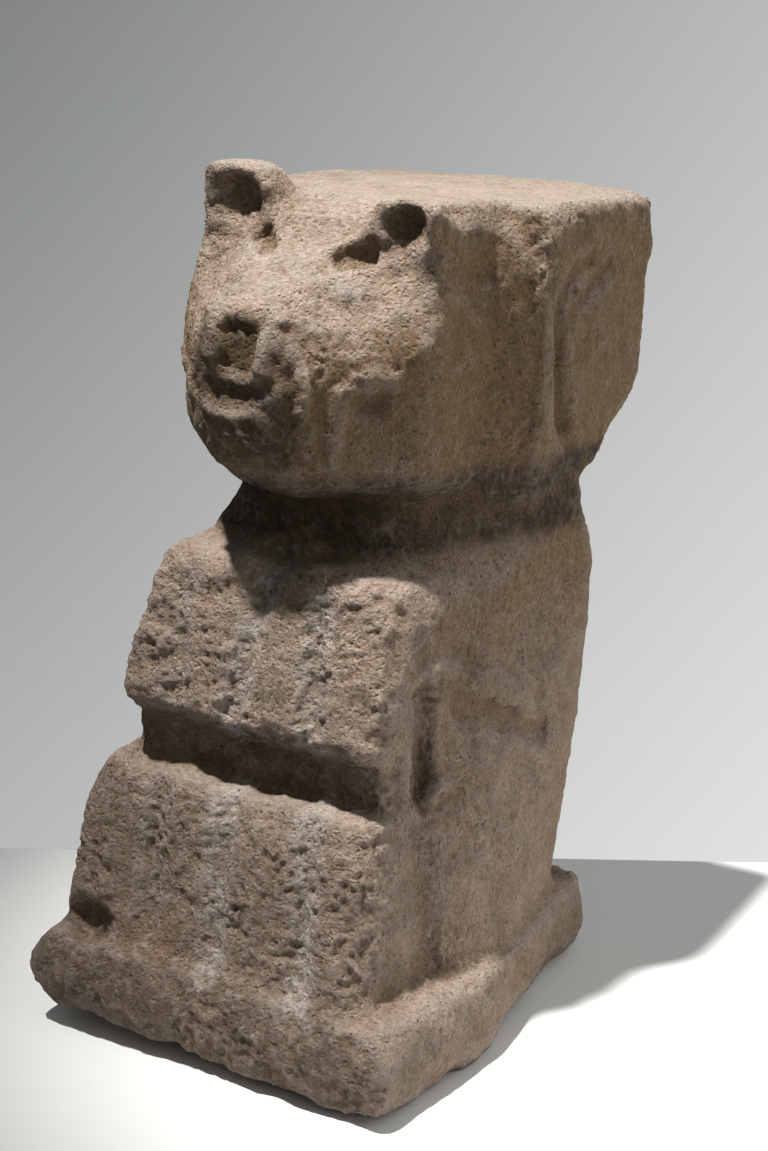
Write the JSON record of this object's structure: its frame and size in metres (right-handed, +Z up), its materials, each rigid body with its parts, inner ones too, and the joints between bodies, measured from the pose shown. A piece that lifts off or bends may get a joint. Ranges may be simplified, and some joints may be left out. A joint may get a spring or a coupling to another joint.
{
  "type": "crouching animal sculpture",
  "caption": "Blocky seated animal of rough volcanic stone, forepaws on its knees, carved in one with a low plinth that it stands on.",
  "frame": {"origin": "middle of the object's plan, on the flat underside of the plinth", "axes": "+Z up; the animal faces -Y; its left flank is towards +X"},
  "size_m": [0.2019, 0.2557, 0.3861],
  "materials": {
    "stone": "matt, granular and pitted volcanic stone, pinkish tan to grey brown, pecked, with pale deposits in the grooves"
  },
  "bodies": {
    "root": {"crouching_animal": "stone"}
  },
  "joints": []
}
